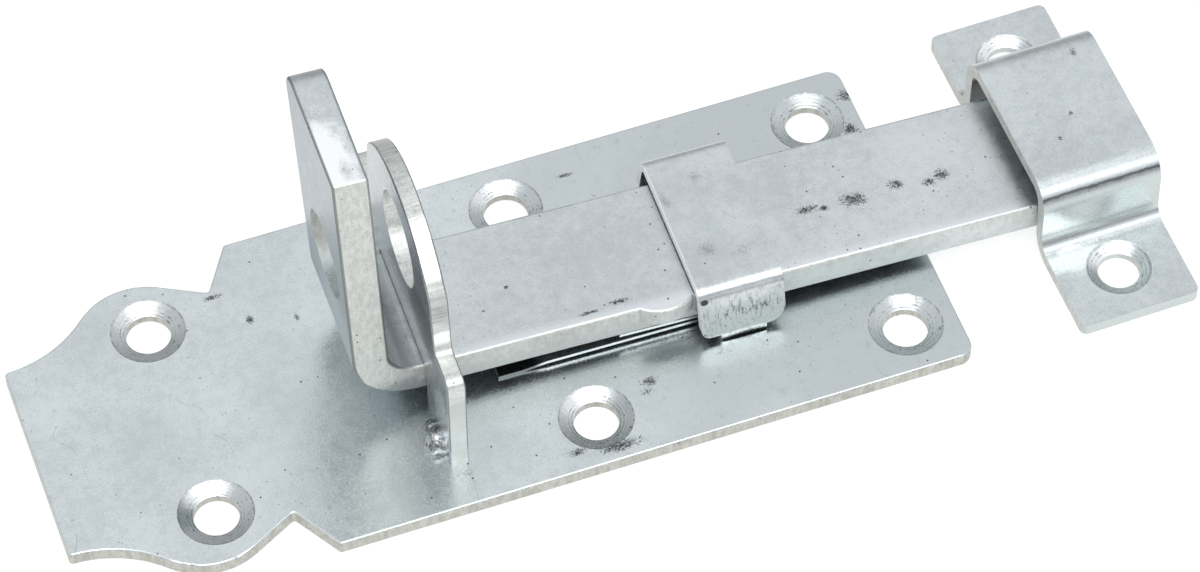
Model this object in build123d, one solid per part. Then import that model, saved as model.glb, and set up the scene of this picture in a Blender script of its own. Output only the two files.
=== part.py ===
from build123d import *
import os
from math import cos, radians, tan

# A steel padbolt. +X is the way the bolt is thrown, +Z is out of the door and z = 0 is the door's face.
# The origin is the middle of the four screw holes at the bolt's end of the plate.

# Plate
plate_thickness = 2.0
plate_width = 50.0
plate_length = 120.0
plate_corner = 2.0
plate_nick = 0.5
shoulder_to_front = 87.1
throat_width = 36.6
throat_run = 4.1
swell_width = 45.2
swell_radius = 9.5
swell_turn = 45.0
throat_turn = 28.0
tail_width = 30.0
edge_round = 0.3

# Countersunk screw holes
plate_bore = 6.0
plate_sink_diameter = 10.0
sink_depth = 0.85
row_pitch_x = 43.0
row_pitch_y = 35.6
front_margin = 7.0
tail_row_back = 50.5
tail_pitch_y = 30.0

# The bolt's line over the plate: a little askew, and higher at the handle
strap_x = 1.4
line_y = 0.7
line_turn = -1.23
bar_dip = 1.5
bar_underside = 4.2

# Bolt: flat bar, handle turned up at its end, stop swaged out of its near edge
bar_width = 19.1
bar_thickness = 4.7
bar_nose = 52.4
nose_corner = 3.0
bar_edge = 0.4
handle_back = 51.7
handle_height = 44.8
handle_rise = 2.0
handle_sway = 1.3
handle_sweep = 60.0
handle_lean = 2.5
handle_twist = 0.6
handle_bend = 4.0
handle_far_corner = 3.5
handle_hole = 12.0
handle_hole_height = 20.6
stop_chord = 7.4
stop_proud = 1.3
stop_thickness = 2.7
stop_gap = 0.3

# Guide strap over the bar, with a tab on each leg let into the plate
strap_thickness = 1.2
strap_length = 11.6
strap_side_gap = 1.15
strap_shift = 0.8
strap_top_gap = 0.4
strap_flare = 1.65
strap_bend = 1.0
strap_foot_gap = 1.2
foot_corner = 1.3
foot_front_corner = 2.4
tab_length = 6.2
tab_recess = 0.2
slot_gap = 0.35
slot_corner = 0.7

# Padlock staple: a plate on edge across the bar
staple_thickness = 2.5
handle_gap = 4.5
staple_width = 39.7
staple_shoulder = 19.2
staple_head_width = 26.8
staple_head_foot = 28.7
staple_top = 35.9
staple_crown = 7.4
staple_head_corner = 3.0
staple_shoulder_corner = 1.5
staple_neck_corner = 1.3
staple_hole = 13.0
staple_hole_height = 25.2
window_side_gap = 0.65
window_top_gap = 0.35
window_corner = 0.8
staple_edge = 0.25

# Welds at the foot of the staple
weld_radius = 2.3
weld_tail_radius = 1.4
weld_inset = 3.6
weld_sink = 0.45

# Hairpin leaf spring between plate and bar
leaf_thickness = 0.5
leaf_width = 18.5
leaf_fold = 0.4
leaf_fold_x = -1.0
leaf_lift = 0.5
leaf_end_x = -15.8
leaf_foot_x = -32.4
leaf_foot_run = 3.2
leaf_rise_x = -26.0
leaf_gap = 0.25
leaf_bend = 3.0

# Keeper: a hat-shaped bracket of its own, its crown a little off the middle of its ears
keeper_thickness = 1.8
keeper_length = 51.8
keeper_width = 16.8
keeper_height = 12.5
keeper_side_gap = 1.45
keeper_shift = 1.0
keeper_flare = 0.35
keeper_bend = 2.2
keeper_corner = 1.0
keeper_x = 51.2
keeper_y = -0.1
keeper_turn = 0.8
keeper_pitch_y = 37.2
keeper_bore = 5.6
keeper_sink_diameter = 8.8

# For picking edges and faces out of a solid
tolerance = 0.01
side_draft = 5.0

front_x = row_pitch_x / 2 + front_margin
tail_x = front_x - plate_length
shoulder_x = front_x - shoulder_to_front
tail_row_x = -row_pitch_x / 2 - tail_row_back

staple_back = handle_back - bar_thickness - handle_gap

# The bolt's line, and the bar's own place on it: its underside where it passes the strap
bolt_line = Pos(strap_x, line_y, 0) * Rot(0, 0, line_turn)
bar_place = bolt_line * Pos(0, 0, bar_underside) * Rot(0, bar_dip, 0)


def bar_top_at(s):
    """Height of the bar's top over the door at s along the bolt's line."""
    return bar_underside + bar_thickness / cos(radians(bar_dip)) - s * tan(radians(bar_dip))


def screw_hole(x, y, thickness, bore, sink_diameter):
    """A screw's clearance hole with its countersink, from the door's face up."""
    hole = Pos(x, y, thickness / 2) * Cylinder(bore / 2, 2 * thickness)
    sink = Cone(bore / 2, sink_diameter / 2, sink_depth)
    return hole + Pos(x, y, thickness - sink_depth / 2) * sink


def plate_outline():
    """Straight-sided body, a throat, and a tail that swells and draws in on an ogee."""
    half_width = plate_width / 2
    both_radii = (swell_width - tail_width) / 2 / (1 - cos(radians(swell_turn)))
    tail_end = Line((tail_x, 0), (tail_x, tail_width / 2))
    hollow = JernArc(tail_end @ 1, (1, 0), both_radii - swell_radius, swell_turn)
    swell = JernArc(hollow @ 1, hollow % 1, swell_radius, -swell_turn - throat_turn)
    throat = Line(swell @ 1, (shoulder_x - throat_run, throat_width / 2))
    shoulder = Line(throat @ 1, (shoulder_x, half_width))
    side = Line(shoulder @ 1, (front_x, half_width))
    front = Line(side @ 1, (front_x, 0))
    centre = Line(front @ 1, tail_end @ 0)
    half = make_face(tail_end + hollow + swell + throat + shoulder + side + front + centre)
    outline = half + mirror(half, Plane.XZ)
    front_corners = outline.vertices().group_by(Axis.X)[-1]
    outline = fillet(front_corners, plate_corner)
    sharp = outline.vertices().filter_by_position(Axis.X, tail_x - 1, shoulder_x + 1)
    sharp = [v for v in sharp if is_corner(v)]
    return fillet(sharp, plate_nick)


def is_corner(vertex):
    """True at the tail's two ends, at the throat and at the shoulders of the plate's outline."""
    places = ((tail_x, tail_width), (shoulder_x - throat_run, throat_width), (shoulder_x, plate_width))
    return any(abs(vertex.X - x) + abs(abs(vertex.Y) - width / 2) < tolerance for x, width in places)


def base_plate():
    plate = extrude(plate_outline(), plate_thickness)
    rim = plate.faces().sort_by(Axis.Z)[-1].edges()
    plate = fillet(rim, edge_round)
    for y in (-row_pitch_y / 2, row_pitch_y / 2):
        for x in (-row_pitch_x / 2, row_pitch_x / 2):
            plate -= screw_hole(x, y, plate_thickness, plate_bore, plate_sink_diameter)
    for y in (-tail_pitch_y / 2, tail_pitch_y / 2):
        plate -= screw_hole(tail_row_x, y, plate_thickness, plate_bore, plate_sink_diameter)
    slot = RectangleRounded(tab_length + 2 * slot_gap, strap_thickness + 2 * slot_gap, slot_corner)
    for side in (-1, 1):
        y = strap_shift + side * (strap_foot_half - strap_thickness / 2)
        plate -= bolt_line * Pos(0, y, 0) * extrude(slot, plate_thickness, both=True)
    return plate


# Half the strap's outer width at its top and at its feet
strap_top_half = bar_width / 2 + strap_side_gap + strap_thickness
strap_foot_half = strap_top_half + strap_flare


def bent_strip(path, bend, thickness):
    """The section of a strip bent along the corners of its middle line."""
    middle = FilletPolyline(*path, radius=bend + thickness / 2)
    sides = [offset(middle, thickness / 2, side=side, closed=True) for side in (Side.LEFT, Side.RIGHT)]
    return make_face(sides[0]) + make_face(sides[1])


def across_line(section, length):
    """Stands a section drawn in Y and Z up across the bolt's line and gives it its length."""
    return extrude(Plane.YZ * section, length / 2, both=True)


def guide_strap():
    """Bent over the bar, with legs that splay and then stand straight down to the plate."""
    half_sheet = strap_thickness / 2
    half_length = strap_length / 2
    dip = half_length * tan(radians(bar_dip))
    top = bar_top_at(0) + dip + strap_top_gap + half_sheet
    foot = plate_thickness + strap_foot_gap
    half = [
        (strap_top_half - half_sheet, top),
        (strap_foot_half - half_sheet, foot),
        (strap_foot_half - half_sheet, tab_recess),
    ]
    path = [(-y, z) for y, z in reversed(half)] + half
    strap = across_line(bent_strip(path, strap_bend, strap_thickness), strap_length)
    under_feet = Box(2 * strap_length, 4 * strap_foot_half, 2 * foot)
    tabs = Box(tab_length, 4 * strap_foot_half, 2 * foot)
    strap -= under_feet - tabs
    for end_x, corner in ((-half_length, foot_corner), (half_length, foot_front_corner)):
        feet = strap.edges().filter_by(Axis.Y)
        feet = feet.filter_by_position(Axis.Z, foot - tolerance, foot + tolerance)
        feet = feet.filter_by_position(Axis.X, end_x - tolerance, end_x + tolerance)
        strap = fillet(feet, corner)
    return bolt_line * Pos(0, strap_shift, 0) * strap


def bolt_side(lean):
    """The bolt seen from its side, its end bent up and leaning back by an angle."""
    slope = tan(radians(lean))
    tall = handle_height + handle_rise + bar_thickness
    inner_foot = bar_thickness / cos(radians(lean)) - handle_back
    inner_corner = (inner_foot - bar_thickness * slope, bar_thickness)
    side = Polyline(
        (-handle_back, 0),
        (bar_nose, 0),
        (bar_nose, bar_thickness),
        inner_corner,
        (inner_foot - tall * slope, tall),
        (-handle_back - tall * slope, tall),
        (-handle_back, 0),
    )
    section = make_face(side)
    outer = section.vertices().sort_by_distance((-handle_back, 0, 0))[0]
    section = fillet(outer, handle_bend + bar_thickness)
    inner = section.vertices().sort_by_distance((*inner_corner, 0))[0]
    return fillet(inner, handle_bend)


def bar_with_handle():
    """Flat bar with its end bent up, the handle's far side leaning back a little more than its near side."""
    half = bar_width / 2 + handle_sway
    near = Plane.XZ.offset(half) * bolt_side(handle_lean)
    far = Plane.XZ.offset(-half) * bolt_side(handle_lean + handle_twist)
    return loft([near, far], ruled=True)


def bolt_front():
    """The bolt seen along the bar: the handle leans to the far side, where its top rounds off."""
    half = bar_width / 2
    peak = handle_height + handle_rise
    outline = Polyline(
        (-half, -bar_thickness),
        (half, -bar_thickness),
        (half, bar_thickness),
        (half + handle_sway, peak),
        (handle_sway - half, handle_height),
        (-half, bar_thickness),
        (-half, -bar_thickness),
    )
    front = make_face(outline)
    corners = (
        (half + handle_sway, peak, handle_far_corner),
        (half, bar_thickness, handle_sweep),
        (-half, bar_thickness, handle_sweep),
    )
    for y, z, radius in corners:
        front = fillet(front.vertices().sort_by_distance((y, z, 0))[0], radius)
    return across_line(front, 4 * handle_back)


def swaged_stop():
    """A round lobe pushed out of the bar's near edge, flush with the top, that meets the strap."""
    radius = (stop_chord**2 / 4 + stop_proud**2) / (2 * stop_proud)
    x = -strap_length / 2 - stop_gap - stop_chord / 2
    y = radius - stop_proud - bar_width / 2
    lobe = Cylinder(radius, stop_thickness)
    rim = lobe.edges().sort_by(Axis.Z)[-1]
    return Pos(x, y, bar_thickness - stop_thickness / 2) * fillet(rim, bar_edge)


def sliding_bolt():
    bolt = bar_with_handle() & bolt_front()
    nose = bolt.edges().filter_by(Axis.Z).group_by(Axis.X)[-1]
    bolt = fillet(nose, nose_corner)
    long_sides = [face for face in bolt.faces() if abs(face.normal_at().Y) > cos(radians(side_draft))]
    rim = [edge for face in long_sides for edge in face.edges()]
    bolt = fillet([edge for edge in rim if rim.count(edge) == 1], bar_edge)
    bolt += swaged_stop()
    hole_x = -handle_back - handle_hole_height * tan(radians(handle_lean))
    hole = Rot(0, 90 - handle_lean, 0) * Cylinder(handle_hole / 2, 4 * bar_thickness)
    return bar_place * (bolt - Pos(hole_x, 0, handle_hole_height) * hole)


def staple_outline():
    """Feet on the plate, shoulders, and a head that narrows a little to a low crown."""
    foot = staple_width / 2
    neck = staple_head_foot / 2
    head = staple_head_width / 2
    brow = staple_top - staple_crown
    shoulder = staple_shoulder
    left = Polyline((-head, brow), (-neck, shoulder), (-foot, shoulder), (-foot, plate_thickness))
    base = Line((-foot, plate_thickness), (foot, plate_thickness))
    right = Polyline((foot, plate_thickness), (foot, shoulder), (neck, shoulder), (head, brow))
    crown = ThreePointArc((head, brow), (0, staple_top), (-head, brow))
    outline = make_face(left + base + right + crown)
    corners = (
        (foot, shoulder, staple_shoulder_corner),
        (neck, shoulder, staple_neck_corner),
        (head, brow, staple_head_corner),
    )
    for y, z, radius in corners:
        for side in (-1, 1):
            corner = outline.vertices().sort_by_distance((side * y, z, 0))[0]
            outline = fillet(corner, radius)
    return outline


def padlock_staple():
    """Stands across the bolt's line: the bar runs through its window, the padlock through its hole."""
    middle = staple_thickness / 2 - staple_back
    window_half = bar_width / 2 + window_side_gap
    window_top = bar_top_at(-staple_back) + window_top_gap
    staple = across_line(staple_outline(), staple_thickness)
    broad_sides = staple.faces().filter_by(Axis.X)
    rim = [edge for edge in broad_sides.edges() if edge.center().Z > plate_thickness + tolerance]
    staple = fillet(rim, staple_edge)
    window = Rectangle(2 * window_half, 2 * window_top)
    window = fillet(window.vertices(), window_corner)
    hole = Pos(0, staple_hole_height) * Circle(staple_hole / 2)
    staple -= across_line(window + hole, 4 * staple_thickness)
    return bolt_line * Pos(middle, 0, 0) * staple


def tack_weld(side):
    """A lump where a foot of the staple stands on the plate, on the handle's side."""
    face = -staple_back
    y = side * (staple_width / 2 - weld_inset)
    lump = Pos(face - weld_sink, y, plate_thickness + weld_sink) * Sphere(weld_radius)
    tail = Pos(face - weld_sink, y - side * weld_radius, plate_thickness) * Sphere(weld_tail_radius)
    reach = 4 * weld_radius
    corner = Box(reach, 2 * reach, reach, align=(Align.MAX, Align.CENTER, Align.MIN))
    return bolt_line * ((lump + tail) & Pos(face, y, plate_thickness) * corner)


def leaf_spring():
    """A hairpin strip: one leaf runs down to the plate, the other lifts the bar."""
    half_leaf = leaf_thickness / 2
    rest = plate_thickness + half_leaf
    low = rest + leaf_lift
    touch = bar_underside - leaf_end_x * tan(radians(bar_dip)) - leaf_gap - half_leaf
    lower = FilletPolyline(
        (leaf_foot_x, rest),
        (leaf_foot_x + leaf_foot_run, rest),
        (leaf_rise_x, low),
        (leaf_fold_x, low),
        radius=leaf_bend,
    )
    fold = JernArc((leaf_fold_x, low), (1, 0), leaf_fold, 180)
    upper = Line(fold @ 1, (leaf_end_x, touch))
    middle = Wire([*lower.edges(), *fold.edges(), *upper.edges()])
    strip = make_face(offset(middle, half_leaf, side=Side.BOTH))
    return bolt_line * extrude(Plane.XZ * strip, leaf_width / 2, both=True)


def keeper():
    """A strip bent into a hat, with an ear for a screw on each side of the bar."""
    half_sheet = keeper_thickness / 2
    crown = bar_width / 2 + keeper_side_gap + half_sheet
    foot = crown + keeper_flare
    path = (
        (-keeper_length / 2, half_sheet),
        (keeper_shift - foot, half_sheet),
        (keeper_shift - crown, keeper_height - half_sheet),
        (keeper_shift + crown, keeper_height - half_sheet),
        (keeper_shift + foot, half_sheet),
        (keeper_length / 2, half_sheet),
    )
    hat = across_line(bent_strip(path, keeper_bend, keeper_thickness), keeper_width)
    upright = hat.edges().filter_by(Axis.Z)
    hat = fillet([edge for edge in upright if abs(edge.center().Y) > foot + tolerance], keeper_corner)
    for side in (-1, 1):
        hat -= screw_hole(0, side * keeper_pitch_y / 2, keeper_thickness, keeper_bore, keeper_sink_diameter)
    return Pos(keeper_x, keeper_y, 0) * Rot(0, 0, keeper_turn) * hat


def main():
    os.makedirs("parts", exist_ok=True)
    pieces = {
        "base_plate": base_plate(),
        "guide_strap": guide_strap(),
        "sliding_bolt": sliding_bolt(),
        "padlock_staple": padlock_staple(),
        "tack_weld_near": tack_weld(-1),
        "tack_weld_far": tack_weld(1),
        "leaf_spring": leaf_spring(),
        "keeper": keeper(),
    }
    for name, piece in pieces.items():
        export_step(piece, f"parts/{name}.step")


main()
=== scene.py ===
from math import radians, sin

import bmesh
import bpy
from mathutils import Matrix, Vector, noise


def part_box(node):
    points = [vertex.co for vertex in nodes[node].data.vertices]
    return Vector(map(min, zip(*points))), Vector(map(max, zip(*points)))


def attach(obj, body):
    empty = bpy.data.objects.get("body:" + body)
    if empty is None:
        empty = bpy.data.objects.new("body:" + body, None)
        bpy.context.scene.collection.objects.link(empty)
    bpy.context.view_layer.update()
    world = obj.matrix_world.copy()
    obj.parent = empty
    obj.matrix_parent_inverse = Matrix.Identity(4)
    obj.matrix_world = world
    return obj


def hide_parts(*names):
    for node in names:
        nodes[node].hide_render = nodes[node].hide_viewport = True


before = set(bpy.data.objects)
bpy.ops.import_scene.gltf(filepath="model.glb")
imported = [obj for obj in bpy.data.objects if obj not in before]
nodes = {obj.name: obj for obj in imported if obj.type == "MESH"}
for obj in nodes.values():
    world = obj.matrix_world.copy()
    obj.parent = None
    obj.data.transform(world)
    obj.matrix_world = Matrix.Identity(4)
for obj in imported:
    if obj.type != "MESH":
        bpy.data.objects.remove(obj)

scene = bpy.context.scene
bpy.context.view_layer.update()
print("loaded", len(nodes), "pieces")


def feed(tree, target, sockets):  # links a node's sockets, or sets the ones that are plain values
    for name, value in sockets.items():
        if isinstance(value, Wire):
            tree.links.new(value.socket, target.inputs[name])
        else:
            target.inputs[name].default_value = value


class Wire:  # one output of a node, so that shader maths reads as sums
    def __init__(self, tree, socket=None):
        self.tree = tree
        self.socket = socket

    def node(self, kind, settings={}, sockets={}, out=0):
        made = self.tree.nodes.new(kind)
        for name, value in settings.items():
            setattr(made, name, value)
        feed(self.tree, made, sockets)
        return Wire(self.tree, made.outputs[out])

    def maths(self, operation, first, second=0.0):
        return self.node("ShaderNodeMath", {"operation": operation}, {0: first, 1: second})

    def __add__(self, other):
        return self.maths("ADD", self, other)

    def __radd__(self, other):
        return self.maths("ADD", other, self)

    def __sub__(self, other):
        return self.maths("SUBTRACT", self, other)

    def __rsub__(self, other):
        return self.maths("SUBTRACT", other, self)

    def __mul__(self, other):
        return self.maths("MULTIPLY", self, other)

    def __rmul__(self, other):
        return self.maths("MULTIPLY", other, self)

    def __abs__(self):
        return self.maths("ABSOLUTE", self)


def fade(wire, low, high):  # 0 below low, 1 above high, soft between
    return wire.node("ShaderNodeMapRange", {"interpolation_type": "SMOOTHSTEP"},
                     {"Value": wire, "From Min": low, "From Max": high})


def either(first, second):
    return first.maths("MAXIMUM", first, second)


def tint(first, second, share):  # from the first colour to the second
    return share.node("ShaderNodeMix", {"data_type": "RGBA"}, {0: share, 6: first, 7: second}, 2)


def vectors(wire, operation, other=(0, 0, 0), out="Vector"):
    return wire.node("ShaderNodeVectorMath", {"operation": operation}, {0: wire, 1: other}, out)


def coordinate(wire, axis):  # one number of a place or a direction
    return wire.node("ShaderNodeSeparateXYZ", {}, {0: wire}, axis)


def cloud(place, scale, detail=3.0, rough=0.5, twist=0.0):
    return place.node("ShaderNodeTexNoise", {"noise_dimensions": "3D"},
                      {"Vector": place, "Scale": scale, "Detail": detail, "Roughness": rough,
                       "Distortion": twist}, "Fac")


def stretched(place, scale):  # a pattern drawn out along some axes
    return place.node("ShaderNodeMapping", {}, {"Vector": place, "Scale": scale})


def pinpricks(place, scale, radius):
    near = place.node("ShaderNodeTexVoronoi", {"feature": "F1"},
                      {"Vector": place, "Scale": scale, "Randomness": 1.0}, "Distance")
    return 1 - fade(near, radius * 0.5, radius)


def hairlines(place, scale, width, rarity):  # curved scratches where a soft noise crosses its middle
    line = 1 - fade(abs(cloud(place, scale, 2.0, 0.4) - 0.5), 0.0, width)
    return line * fade(cloud(place, scale * 2.3, 1.0), rarity, rarity + 0.08)


def around(place, spot):  # 1 at the middle of an oval spot, 0 at its rim, from its middle and reach in mm
    x, y, z, reachX, reachY, reachZ = [value / 1000 for value in spot]
    off = vectors(vectors(place, "SUBTRACT", (x, y, z)), "DIVIDE", (reachX, reachY, reachZ))
    return 1 - fade(vectors(off, "LENGTH", out="Value"), 0.0, 1.0)


# Each function below lays one more layer on a coat and changes its colour, roughness, metal, height or its
# dark layer of dirt and painted shade; several of them paint light or shade into the colour.

def smudges(face, coat, dabs):  # clusters of dark speckles, densest in the middle of each spot
    inside = None
    for *spot, density in dabs["spots"]:
        one = around(face["place"], spot) * density
        inside = one if inside is None else either(inside, one)
    speckle = cloud(face["place"], dabs["scale"], 5.0, 0.8, 1.6)
    dark = fade(speckle + inside * dabs["gain"], *dabs["limits"]) * fade(inside, 0.02, 0.2)
    coat["dirt"] = either(coat["dirt"], dark * dabs["dark"])


def paintedShadeFaces(face, coat, shadedSides):  # painted shade: faces turned one way along an axis get a darker colour, as if less light fell on them
    for dim in shadedSides:
        share = fade(face["toward"][dim["against"]] * -1, dim["from"], dim["to"])
        uneven = dim["share"] + (face["mottle"] - 0.5) * 0.5
        coat["colour"] = tint(coat["colour"], dim["colour"], share * uneven)


def countersinks(face, coat, sinks):  # painted highlight on the far wall and painted shade on the other walls, with the cutter's chatter
    toward, radius, blur = face["toward"], sinks["radius"], sinks["blur"]
    flat = vectors(face["place"], "MULTIPLY", (1, 1, 0))
    ring = None
    for x, y in sinks["at"]:
        away = vectors(flat, "DISTANCE", (x / 1000, y / 1000, 0), "Value")
        ring = away if ring is None else ring.maths("MINIMUM", ring, away)
    upright = abs(toward["Z"])
    cone = fade(upright, 0.6, 0.7) - fade(upright, 0.97, 0.99)
    cone = (1 - fade(ring, radius - blur, radius + blur)) * cone
    turned = ring.node("ShaderNodeTexNoise", {"noise_dimensions": "1D"},
                       {"W": ring, "Scale": sinks["turnScale"], "Detail": 3.0}, "Fac")
    chatter = cloud(face["place"], sinks["chatterScale"], 4.0, 0.75, 1.2)
    # painted light: walls that face −Y, and a little more those that face +X, get the light colour; the
    # others get the shade colour
    lit = fade(chatter * 0.5 - toward["Y"] + toward["X"] * 0.12, 0.38, 0.68)
    marks = fade(turned * 0.3 + chatter * 0.7, 0.56, 0.63) * sinks["marks"]
    rim = fade(ring, radius - sinks["rimWidth"], radius - blur) * fade(chatter, 0.4, 0.55) * sinks["rim"]
    coat["colour"] = tint(coat["colour"], tint(sinks["shade"], sinks["light"], lit), cone)
    coat["height"] = coat["height"] + cone * turned * sinks["relief"]
    coat["dirt"] = either(coat["dirt"], either(marks, rim) * cone)


def shearedEdges(face, coat, cut):  # warmer and rougher, with the tool's lines
    mottle, grain = face["mottle"], face["grain"]
    shear = fade(face["side"][cut["axis"]], cut["from"], cut["to"])
    if cut["inverse"]:
        shear = 1 - shear
    lines = cloud(stretched(face["place"], cut["lines"]), cut["lineScale"], 3.0, 0.6)
    tool = tint(cut["shade"], cut["light"], fade(lines * 0.45 + mottle * 0.12 + grain * 0.43, 0.36, 0.64))
    if "torn" in cut:  # the lower part of a sheared edge tore instead of being cut
        torn = cut["torn"]
        level = vectors(face["place"], "DOT_PRODUCT", torn["up"], "Value")
        low = 1 - fade(level + (mottle - 0.5) * torn["wander"], torn["from"], torn["to"])
        tool = tint(tool, torn["colour"], low * torn["share"])
        crumbs = cloud(face["place"], torn["scale"], 3.0, 0.7)
        coat["height"] = coat["height"] + shear * low * crumbs * torn["relief"]
    coat["colour"] = tint(coat["colour"], tool, shear)
    coat["rough"] = coat["rough"] + shear * cut["rougher"]
    coat["metal"] = 1 - shear * cut["chalky"]
    coat["height"] = coat["height"] + shear * lines * cut["relief"]


def paintedEdgeHighlight(face, coat, edgeHighlight):  # painted highlight: a top face gets a lighter colour along one edge, standing in for the light a rolled-over edge catches
    across = vectors(face["place"], "DOT_PRODUCT", edgeHighlight["across"], "Value")
    near = 1 - fade(across + (face["mottle"] - 0.5) * edgeHighlight["wander"], edgeHighlight["from"], edgeHighlight["to"])
    near = near * fade(face["toward"]["Z"], 0.8, 0.95)
    coat["colour"] = tint(coat["colour"], edgeHighlight["colour"], near * edgeHighlight["share"])


def paintedLightAndStains(face, coat, lightAndStains):  # lighter or darker spots, on or off the faces across one axis; most are painted light or painted shade
    for entry in lightAndStains:
        spotShare = around(face["place"], entry["spot"]) * entry["strength"]
        if "on" in entry:
            spotShare = spotShare * fade(face["side"][entry["on"]], 0.85, 0.95)
        if "off" in entry:
            spotShare = spotShare * (1 - fade(face["side"][entry["off"]], 0.3, 0.6))
        ragged = fade(spotShare + (face["mottle"] - 0.5) * 0.9 + (face["grain"] - 0.5) * 0.4, 0.1, 0.75)
        coat["colour"] = tint(coat["colour"], entry["colour"], ragged)


def draggedMarks(face, coat, drags):  # short marks where a tool or a grinder dragged over a near face
    brush = cloud(stretched(face["place"], drags["along"]), drags["scale"], 4.0, 0.8)
    on = fade(face["toward"]["Y"] * -1, drags["facing"] - 0.1, drags["facing"])
    coat["colour"] = tint(coat["colour"], drags["colour"], fade(brush, 0.5, 0.62) * on * drags["all"])
    for spot in drags["spots"]:
        deep = fade(brush + around(face["place"], spot) * drags["gain"], 0.66, 0.78)
        coat["dirt"] = either(coat["dirt"], deep * on * drags["dark"])


def paintedEdgeShade(face, coat, edgeShade):  # painted shade: eased edges, where the facing turns between two axes, get a darker colour than the faces beside them
    for rim in edgeShade:
        first = face["side"][rim["first"]]
        between = first * (face["side"][rim["second"]] if "second" in rim else 1 - first)
        high = fade(coordinate(face["place"], "Z"), rim["above"], rim["above"] + 0.001)
        eased = fade(between, rim["from"], rim["to"]) * high * rim["share"]
        coat["colour"] = tint(coat["colour"], rim["colour"], eased)


def paintedBendLine(face, coat, bendShadeLine):  # painted shade: a thin dark line along the lower side of a bend, where its facing passes a set tilt towards the front
    tilt = face["toward"]["Y"] * -1 - bendShadeLine["at"]
    line = 1 - fade(abs(tilt + (face["mottle"] - 0.5) * 0.1), 0.0, bendShadeLine["width"])
    upper = fade(coordinate(face["place"], "Z"), bendShadeLine["above"], bendShadeLine["above"] + 0.001)
    coat["dirt"] = either(coat["dirt"], line * upper * fade(face["toward"]["Z"], 0.1, 0.3) * bendShadeLine["share"])


layers = {"smudges": smudges, "shadedSides": paintedShadeFaces, "sinks": countersinks, "cut": shearedEdges,
          "edgeHighlight": paintedEdgeHighlight, "lightAndStains": paintedLightAndStains, "drags": draggedMarks, "edgeShade": paintedEdgeShade,
          "bendShadeLine": paintedBendLine}


def zincCoat(name, piece):
    look = piece["look"]
    material = bpy.data.materials.new(name)
    material.use_nodes = True
    ink = Wire(material.node_tree)
    place = ink.node("ShaderNodeTexCoord", {}, {}, "Object")
    facing = ink.node("ShaderNodeTexCoord", {}, {}, "Normal")
    toward = {axis: coordinate(facing, axis) for axis in "XYZ"}
    patches = cloud(place, look["patchScale"], 2.0)
    mottle = cloud(place, look["mottleScale"], 4.0, 0.62)
    grain = cloud(place, look["grainScale"], 3.0, 0.75)
    face = {"place": place, "toward": toward, "side": {axis: abs(toward[axis]) for axis in "XYZ"},
            "mottle": mottle, "grain": grain}

    dirt = pinpricks(place, look["prickScale"], look["prickRadius"]) * look["pricks"]
    faint = pinpricks(place, look["faintScale"], look["faintRadius"])
    faint = faint * fade(patches, 0.4, 0.6) * look["pricks"] * 0.5
    scratch = hairlines(place, look["hairScale"], look["hairWidth"], look["hairRarity"]) * look["hairs"]
    share = fade(patches * 0.34 + mottle * 0.28 + grain * 0.38, *look["contrast"])
    coat = {"colour": tint(look["dull"], look["clean"], share),
            "rough": look["rough"] + (mottle - 0.5) * 0.14 + (grain - 0.5) * 0.3,
            "metal": 1.0,
            "height": grain * 0.8 + mottle * 0.8,
            "dirt": either(either(dirt, faint), scratch)}
    for key, layer in layers.items():
        if key in piece:
            layer(face, coat, piece[key])

    bump = ink.node("ShaderNodeBump", {},
                    {"Height": coat["height"], "Strength": look["bump"], "Distance": look["bumpDepth"]},
                    "Normal")
    feed(material.node_tree, material.node_tree.nodes["Principled BSDF"],
         {"Base Color": tint(coat["colour"], look["dirt"], coat["dirt"]), "Metallic": coat["metal"],
          "Roughness": coat["rough"] + coat["dirt"] * 0.15, "Normal": bump})
    return material


def wear(node, name, piece):
    mesh = nodes[node].data
    mesh.materials.clear()
    mesh.materials.append(zincCoat(name, piece))


# What the pieces share, from which each piece's own dictionary takes most values and changes some.
# Lengths are in metres, spots and the middles of sinks in millimetres, and pricks in cells of their noise.
bluish = {"clean": (0.67, 0.712, 0.728, 1), "dull": (0.52, 0.557, 0.572, 1), "dirt": (0.05, 0.055, 0.06, 1),
          "contrast": (0.38, 0.62), "rough": 0.3, "patchScale": 70, "mottleScale": 620, "grainScale": 3100,
          "prickScale": 400, "prickRadius": 0.075, "faintScale": 780, "faintRadius": 0.12, "pricks": 0.7,
          "hairScale": 45, "hairWidth": 0.0012, "hairRarity": 0.56, "hairs": 0.15,
          "bump": 0.4, "bumpDepth": 0.00004}
speckled = {"scale": 2500, "gain": 0.3, "limits": (0.7, 0.79), "dark": 0.95}
sheared = {"axis": "Z", "from": 0.25, "to": 0.6, "inverse": True, "lines": (1, 1, 0.25), "lineScale": 1500,
           "relief": 2.5, "rougher": 0.2, "chalky": 0.5, "shade": (0.43, 0.445, 0.42, 1),
           "light": (0.60, 0.615, 0.585, 1)}
# light and shade are the countersinks' painted highlight and painted shade colours
countersunk = {"radius": 0.005, "blur": 0.0001, "turnScale": 4200, "chatterScale": 1100, "marks": 0.65,
               "rim": 0.5, "rimWidth": 0.00035, "relief": 2.2,
               "light": (0.9, 0.915, 0.925, 1), "shade": (0.5, 0.53, 0.545, 1)}
# painted shade: a near-black colour on the walls of a slot
slotPaintedShade = {"off": "Z", "strength": 3, "colour": (0.05, 0.055, 0.055, 1)}

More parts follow.
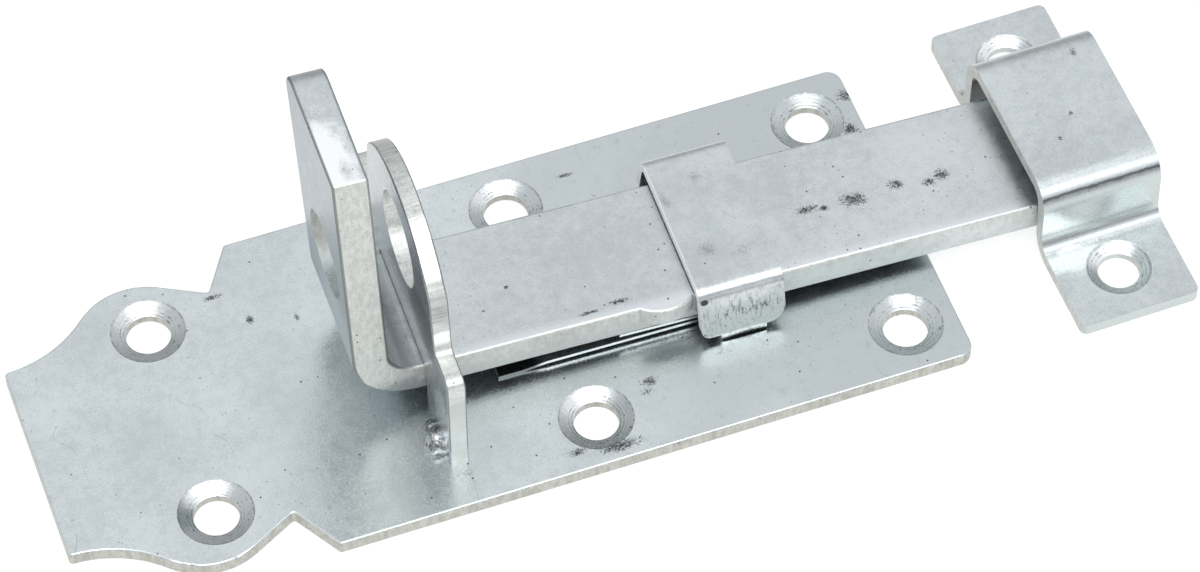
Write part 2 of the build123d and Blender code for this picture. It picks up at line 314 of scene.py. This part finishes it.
plate = {
    "look": {**bluish, "hairs": 0.3, "pricks": 0.85, "rough": 0.24,
             "clean": (0.7, 0.748, 0.765, 1), "dull": (0.55, 0.592, 0.608, 1)},
    "smudges": {**speckled, "spots": [  # middle and reach, then density
        (-58.9, 12.2, 2, 1.2, 1.8, 2, 1), (-41.9, 9.4, 2, 1, 1, 2, 1), (-53, 10.5, 2, 0.8, 1.6, 2, 1),
        (-13.1, -14.8, 2, 2.6, 1.6, 2, 1), (-13.9, -16.3, 2, 2.2, 1.6, 2, 0.8),
        (-25.6, -22.1, 2, 3, 1.4, 2, 1), (-40, -20.4, 2, 3.5, 2, 2, 0.6), (26.4, 14.5, 2, 2.4, 3, 2, 1),
        (28, 20.2, 2, 3, 2.4, 2, 1), (-62.5, 17.3, 2, 3, 1, 2, 1), (-12.2, 20.4, 2, 3, 0.8, 2, 1),
        (-20, -23, 2, 7, 2, 2, 1)]},
    "sinks": {**countersunk, "at": [(-21.5, -17.8), (-21.5, 17.8), (21.5, -17.8), (21.5, 17.8),
                                    (-72, -15), (-72, 15)]},
    "cut": {**sheared, "shade": (0.36, 0.36, 0.32, 1), "light": (0.56, 0.565, 0.52, 1)},
    # painted shade on the plate's right part, where it mirrors less light, and on the walls of the two slots
    "lightAndStains": [
        {"on": "Z", "spot": (20, 4, 2, 62, 62, 5), "strength": 1, "colour": (0.54, 0.58, 0.596, 1)},
        {**slotPaintedShade, "spot": (1.2, -11.8, 1, 6, 3, 3)},
        {**slotPaintedShade, "spot": (1.7, 14.7, 1, 6, 3, 3)}]}
wear("base_plate", "zincOnPlate", plate)

bolt = {
    "look": {**bluish, "patchScale": 55, "hairs": 0.18, "pricks": 0.9, "rough": 0.33},
    "smudges": {**speckled, "spots": [
        (14.2, -0.4, 8.5, 4, 1.6, 4, 1), (16.3, -0.9, 8.5, 1.7, 1.3, 4, 1), (20.4, -0.8, 8.4, 4, 2.6, 4, 1),
        (21.4, -1.2, 8.4, 2.2, 2.4, 4, 1), (26.7, -0.4, 8.2, 2.5, 2, 4, 1), (31, -1.4, 8.1, 2.4, 1.5, 4, 1),
        (33, -0.8, 8.1, 2.8, 2.2, 4, 1), (-14.3, -6.4, 9.3, 3.6, 0.9, 3, 1),
        (-18.5, -6.9, 9.4, 4, 0.7, 3, 1), (-27.3, 0.4, 9.7, 0.8, 0.9, 2, 1),
        (-31.3, -2.2, 9.8, 0.6, 0.6, 2, 1), (-48.9, -4.3, 50.5, 1.9, 4, 3, 0.5)]},
    # painted shade: faces turned to −X get a darker colour
    "shadedSides": [{"against": "X", "from": 0.8, "to": 0.97, "share": 0.95, "colour": (0.35, 0.395, 0.42, 1)}],
    "cut": {**sheared, "axis": "Y", "from": 0.45, "to": 0.8, "inverse": False, "lines": (1, 1, 0.4),
            "shade": (0.48, 0.495, 0.47, 1), "light": (0.67, 0.685, 0.65, 1),
            "torn": {"up": (0.0262, 0, 1), "from": 0.0054, "to": 0.0068, "wander": 0.0014, "share": 0.7,
                     "scale": 2200, "relief": 3, "colour": (0.5, 0.52, 0.51, 1)}},
    # painted highlight: a light strip on the top faces along the bar's near edge
    "edgeHighlight": {"across": (0.0215, 1, 0), "from": -0.0089, "to": -0.0068, "wander": 0.0006, "share": 0.75,
             "colour": (0.82, 0.84, 0.88, 1)},
    # painted highlight on the handle's top; painted light on the bar's inner bend beside the handle and
    # along the bar's near side; the other three darken a small spot on the handle's top, the bar's near face
    # below the handle and the handle's side faces
    "lightAndStains": [
        {"on": "Z", "spot": (-50.6, -3.6, 50.6, 5.2, 11.5, 6), "strength": 1.3,
         "colour": (0.97, 0.98, 0.99, 1)},
        {"on": "Z", "spot": (-48.7, -4.4, 50.5, 1.6, 3.2, 4), "strength": 0.5,
         "colour": (0.5, 0.51, 0.545, 1)},
        {"off": "Y", "spot": (-45, -3, 12, 6, 12, 7), "strength": 1.4, "colour": (0.97, 0.99, 1, 1)},
        {"on": "Y", "spot": (20, -10, 5, 75, 6, 8), "strength": 0.5, "colour": (0.66, 0.72, 0.73, 1)},
        {"on": "Y", "spot": (-45, -9, 6.2, 7, 5, 4.2), "strength": 0.9, "colour": (0.31, 0.33, 0.335, 1)},
        {"on": "X", "spot": (-50, -2, 16, 8, 16, 13), "strength": 0.8, "colour": (0.52, 0.565, 0.585, 1)}],
    # painted shade: dark lines on the handle's eased edges, between its side and top faces and between its
    # side and front faces
    "edgeShade": [
        {"first": "X", "second": "Z", "above": 0.033, "from": 0.12, "to": 0.34, "share": 0.75,
         "colour": (0.25, 0.27, 0.28, 1)},
        {"first": "X", "second": "Y", "above": 0.0098, "from": 0.1, "to": 0.3, "share": 0.85,
         "colour": (0.2, 0.21, 0.2, 1)}]}
wear("sliding_bolt", "zincOnBolt", bolt)

staple = {
    "look": {**bluish, "patchScale": 90},
    # painted shade: faces turned to −X get a darker colour
    "shadedSides": [{"against": "X", "from": 0.8, "to": 0.97, "share": 0.7, "colour": (0.47, 0.475, 0.49, 1)}],
    "cut": {**sheared, "axis": "X", "from": 0.3, "to": 0.6, "lines": (0.15, 1, 1), "chalky": 0.2,
            "rougher": 0.1, "shade": (0.5, 0.52, 0.505, 1), "light": (0.76, 0.775, 0.755, 1)},
    # painted light inside the hole, on the foot's −X face and on the head's near edge and neck; painted
    # shade midway down the −X face; the others darken the foot's near face and a spot on the head's near
    # edge
    "lightAndStains": [
        {"spot": (-41, 1.6, 25.2, 8.4, 8.4, 8.4), "strength": 2.4, "colour": (1, 1, 0.99, 1)},
        {"on": "Y", "spot": (-40, -18.5, 9, 4, 4, 10), "strength": 1.9, "colour": (0.5, 0.52, 0.495, 1)},
        {"on": "X", "spot": (-41.1, -16, 8, 3, 5, 8), "strength": 2.1, "colour": (0.8, 0.84, 0.86, 1)},
        {"on": "X", "spot": (-41.1, -8, 20, 3, 9, 7), "strength": 1.5, "colour": (0.24, 0.255, 0.27, 1)},
        {"off": "X", "spot": (-39.7, -7, 33, 4, 5.5, 5), "strength": 1.8, "colour": (0.95, 0.96, 0.95, 1)},
        {"off": "X", "spot": (-40, -12.5, 21.6, 4, 4, 2), "strength": 1.2, "colour": (0.93, 0.94, 0.93, 1)},
        {"off": "X", "spot": (-40, -12.5, 26.5, 4, 4, 4.5), "strength": 0.9,
         "colour": (0.48, 0.49, 0.48, 1)}],
    "drags": {"spots": [(-40, -2, 36, 3, 3.4, 2.4), (-40, -12, 26.5, 3, 3, 4.5)], "along": (0.1, 1, 1),
              "scale": 1700, "facing": 0.2, "all": 0.2, "gain": 0.22, "dark": 0.4,
              "colour": (0.3, 0.31, 0.3, 1)},
    # painted shade: dark lines on the staple's eased edges around its side faces
    "edgeShade": [{"first": "X", "above": 0.004, "from": 0.12, "to": 0.22, "share": 0.8,
              "colour": (0.2, 0.21, 0.22, 1)}]}
wear("padlock_staple", "zincOnStaple", staple)

strap = {
    "look": {**bluish, "patchScale": 110},
    "smudges": {**speckled, "dark": 0.4, "spots": [
        (-3.4, 5.9, 10.4, 1.2, 3, 2, 1), (3.4, -5, 10.2, 3, 2.4, 2, 1), (-1, -3.5, 10.3, 3, 3, 2, 1),
        (1.5, 8, 10.3, 2, 2.5, 2, 1)]},
    # painted shade: faces turned to the front (−Y) get a darker colour
    "shadedSides": [{"against": "Y", "from": 0.86, "to": 0.95, "share": 1, "colour": (0.63, 0.665, 0.65, 1)}],
    # painted highlight: the strap's sheared end faces get a near-white, chalky colour
    "cut": {**sheared, "axis": "X", "from": 0.6, "to": 0.85, "inverse": False, "lines": (1, 0.3, 1),
            "chalky": 0.8, "shade": (0.82, 0.84, 0.87, 1), "light": (0.97, 0.98, 1, 1)},
    # painted highlight: a thin light strip on the top along the strap's left edge
    "edgeHighlight": {"across": (1, -0.0215, 0), "from": -0.0044, "to": -0.0041, "wander": 0.0006, "share": 0.6,
             "colour": (0.93, 0.94, 0.97, 1)},
    # painted light on the upper front face of the leg and painted shade at its foot around the slot; the
    # last darkens a small spot near the top's front left corner
    "lightAndStains": [
        {"on": "Y", "spot": (1.4, -11, 8.4, 7, 3, 1.4), "strength": 1, "colour": (0.75, 0.77, 0.75, 1)},
        {"on": "Y", "spot": (1.4, -12.6, 1.9, 4.5, 2.5, 1.6), "strength": 1.4,
         "colour": (0.14, 0.15, 0.15, 1)},
        {"spot": (-4, -10.8, 9.3, 0.8, 1, 0.6), "strength": 3, "colour": (0.06, 0.065, 0.07, 1)}],
    "drags": {"spots": [(2, -11.6, 6.5, 11, 3, 2.1)], "along": (1, 1, 0.07), "scale": 2600, "facing": 0.9,
              "all": 0.55, "gain": 0.21, "dark": 0.75, "colour": (0.3, 0.32, 0.32, 1)},
    # painted shade: a thin dark line along the lower side of the strap's top bend
    "bendShadeLine": {"above": 0.006, "at": 0.69, "width": 0.15, "share": 0.6}}
wear("guide_strap", "zincOnStrap", strap)

spring = {
    "look": {**bluish, "patchScale": 150, "clean": (0.58, 0.60, 0.58, 1)},
    # painted shade: a near-black colour over the spring's foot, which lies under the bar
    "lightAndStains": [{"spot": (-33, -8, 2.5, 10, 30, 3), "strength": 2.4, "colour": (0.12, 0.13, 0.13, 1)}]}
wear("leaf_spring", "zincOnSpring", spring)

keeper = {
    "look": {**bluish, "patchScale": 80, "pricks": 0.4},
    "smudges": {**speckled, "spots": [
        (55.8, 9.1, 12.5, 0.9, 1.6, 2, 1), (51.5, -0.2, 12.5, 0.8, 0.8, 2, 1),
        (48.6, -3.6, 12.5, 0.7, 0.9, 2, 1)]},
    # painted shade: the first darkens every keeper face tilted to the front from its bends on, toning down
    # the bends' highlight; the second darkens faces turned straight to the front further
    "shadedSides": [
        {"against": "Y", "from": 0.28, "to": 0.5, "share": 0.6, "colour": (0.45, 0.485, 0.5, 1)},
        {"against": "Y", "from": 0.86, "to": 0.97, "share": 0.9, "colour": (0.57, 0.625, 0.61, 1)}],
    "sinks": {**countersunk, "radius": 0.0043,  # in the two ears, askew as the keeper is
              "at": [(51.2 - 18.6 * ear * sin(radians(0.8)), 18.6 * ear - 0.1) for ear in (-1, 1)]},
    "cut": {**sheared, "axis": "X", "from": 0.6, "to": 0.85, "inverse": False, "lines": (1, 1, 0.3)},
    # painted shade on the inner face of the far leg under the crown, and a painted reflection of the near
    # leg on the near ear
    "lightAndStains": [
        {"on": "Y", "spot": (44.5, 11.7, 8, 8, 1.7, 7), "strength": 3, "colour": (0.1, 0.11, 0.11, 1)},
        {"on": "Z", "spot": (47, -15.5, 1.8, 8, 3.4, 2), "strength": 1.2, "colour": (0.93, 0.95, 0.96, 1)}],
    # painted shade: a thin dark line along the lower side of the keeper's crown bend
    "bendShadeLine": {"above": 0.007, "at": 0.8, "width": 0.07, "share": 0.85}}
wear("keeper", "zincOnKeeper", keeper)
print("coats done")

weld = {"size": 0.00205, "tail": 0.00122, "rise": 0.00045, "inset": 0.0023, "tailRun": 0.0023,
        "spread": 0.8, "swell": 0.8, "subdivisions": 5,
        "waves": ((460, 0.32), (1000, 0.13), (2400, 0.03)),  # pitch and share
        "beads": ((0.0, 0.0, 0.0, 1.0), (-0.0006, 0.0009, 0.0006, 0.62), (0.0, -0.0011, 0.0009, 0.5)),
        # painted light: the near-white clean tone and near-black dull tone paint the bright and dark facets
        # that a glossy lump mirrors
        "look": {**bluish, "rough": 0.13, "bump": 0.35, "patchScale": 300, "clean": (0.92, 0.94, 0.95, 1),
                 "dull": (0.12, 0.13, 0.135, 1)}}
weldCoat = zincCoat("zincOnWeld", weld)


def weldLump(node, outward):  # a rough blob where the staple's foot was tacked to the plate
    low, high = [Vector(corner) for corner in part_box(node)]
    spotY = (low.y if outward < 0 else high.y) - outward * weld["inset"]
    middle = Vector((high.x - weld["rise"], spotY, low.z + weld["rise"]))
    tail = Vector((middle.x, spotY - outward * weld["tailRun"], low.z))
    balls = [(middle + Vector((x, outward * y, z)) * weld["spread"], weld["size"] * share)
             for x, y, z, share in weld["beads"]] + [(tail, weld["tail"])]
    blob = bmesh.new()
    for spot, radius in balls:
        bmesh.ops.create_icosphere(blob, subdivisions=weld["subdivisions"], radius=radius,
                                   matrix=Matrix.Translation(spot))
    for point in blob.verts:
        centre = min((middle, tail), key=lambda spot: (point.co - spot).length)
        swell = sum(share * noise.noise(point.co * pitch + Vector((7 * outward, 3, 1)))
                    for pitch, share in weld["waves"])
        moved = centre + (point.co - centre) * (1 + swell * weld["swell"])
        point.co = Vector([min(max(value, least), most) for value, least, most in zip(moved, low, high)])
    bmesh.ops.recalc_face_normals(blob, faces=blob.faces)
    mesh = bpy.data.meshes.new(node + "_bead")
    blob.to_mesh(mesh)
    blob.free()
    mesh.shade_smooth()
    bead = bpy.data.objects.new(node + "_bead", mesh)
    scene.collection.objects.link(bead)
    mesh.materials.append(weldCoat)
    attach(bead, "fixed_parts")
    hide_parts(node)


weldLump("tack_weld_near", -1)
weldLump("tack_weld_far", 1)
print("welds done")


def whiteFloor():  # white to the camera, duller far off in what the metal mirrors
    values = {"half": 3, "below": 0.0003, "grey": (0.35, 0.35, 0.35, 1), "rough": 0.9, "glow": 0.72,
              "white": (1, 1, 1, 1), "dull": (0.2, 0.2, 0.2, 1), "dullBehind": (0.03, 0.09),
              "dullAhead": (0.2, 0.6)}
    sheet = bmesh.new()
    bmesh.ops.create_grid(sheet, x_segments=1, y_segments=1, size=values["half"])
    bmesh.ops.translate(sheet, verts=sheet.verts, vec=(0, 0, -values["below"]))
    mesh = bpy.data.meshes.new("floor")
    sheet.to_mesh(mesh)
    sheet.free()
    floor = bpy.data.objects.new("floor", mesh)
    scene.collection.objects.link(floor)
    paper = bpy.data.materials.new("paleFloor")
    paper.use_nodes = True
    ink = Wire(paper.node_tree)
    seen = ink.node("ShaderNodeLightPath", {}, {}, "Is Camera Ray")
    back = coordinate(ink.node("ShaderNodeTexCoord", {}, {}, "Object"), "Y")
    far = either(fade(back, *values["dullBehind"]), fade(back * -1, *values["dullAhead"])) * (1 - seen)
    feed(paper.node_tree, paper.node_tree.nodes["Principled BSDF"],
         {"Base Color": values["grey"], "Roughness": values["rough"], "Emission Strength": values["glow"],
          "Emission Color": tint(values["white"], values["dull"], far)})
    mesh.materials.append(paper)


def studio():  # duller low at the back, and darker near the horizon in front
    glow = {"low": 0.52, "high": 0.97, "lean": 0.6, "from": -0.4, "to": 0.42, "dusk": 0.6,
            "duskBelow": (0.14, 0.36), "duskAhead": (0.2, 0.6), "colour": (0.97, 0.99, 1, 1)}
    lamps = {"overhead": ((-0.05, -0.22, 0.62), (0.5, 0.42), 1.1),  # place, size and power
             "front": ((0.03, -0.54, 0.58), (0.75, 0.3), 1.35)}
    aim = Vector((-0.015, 0, 0.01))
    world = bpy.data.worlds.new("studio")
    scene.world = world
    world.use_nodes = True
    up = Wire(world.node_tree).node("ShaderNodeTexCoord", {}, {}, "Generated")
    upward, back = coordinate(up, "Z"), coordinate(up, "Y")
    height = upward - back * glow["lean"]
    dusk = (1 - fade(upward, *glow["duskBelow"])) * fade(back * -1, *glow["duskAhead"])
    share = glow["low"] + fade(height, glow["from"], glow["to"]) * (glow["high"] - glow["low"])
    feed(world.node_tree, world.node_tree.nodes["Background"],
         {"Color": glow["colour"], "Strength": share - dusk * glow["dusk"]})
    for name, (place, (wide, deep), power) in lamps.items():
        lamp = bpy.data.lights.new(name, "AREA")
        lamp.shape = "RECTANGLE"
        lamp.size = wide
        lamp.size_y = deep
        lamp.energy = power
        holder = bpy.data.objects.new(name, lamp)
        holder.location = place
        holder.rotation_euler = (aim - Vector(place)).to_track_quat("-Z", "Y").to_euler()
        scene.collection.objects.link(holder)


def photoCamera():
    view = {"spot": (-0.142251, -0.359964, 0.536131), "lens": 150.016, "sensor": 36, "nearest": 0.01,
            "right": (0.94072589, -0.33914756, -0.0037064),
            "down": (-0.2774823, -0.76330317, -0.58341395),
            "ahead": (0.19503431, 0.54986107, -0.8121665)}
    lens = bpy.data.cameras.new("camera")
    lens.lens = view["lens"]
    lens.sensor_width = view["sensor"]
    lens.sensor_fit = "HORIZONTAL"
    lens.clip_start = view["nearest"]
    camera = bpy.data.objects.new("camera", lens)
    turn = Matrix((view["right"], [-v for v in view["down"]], [-v for v in view["ahead"]])).transposed()
    camera.matrix_world = Matrix.Translation(view["spot"]) @ turn.to_4x4()
    scene.collection.objects.link(camera)
    scene.camera = camera


whiteFloor()
studio()
photoCamera()
scene.view_settings.view_transform = "Standard"
print("studio done")
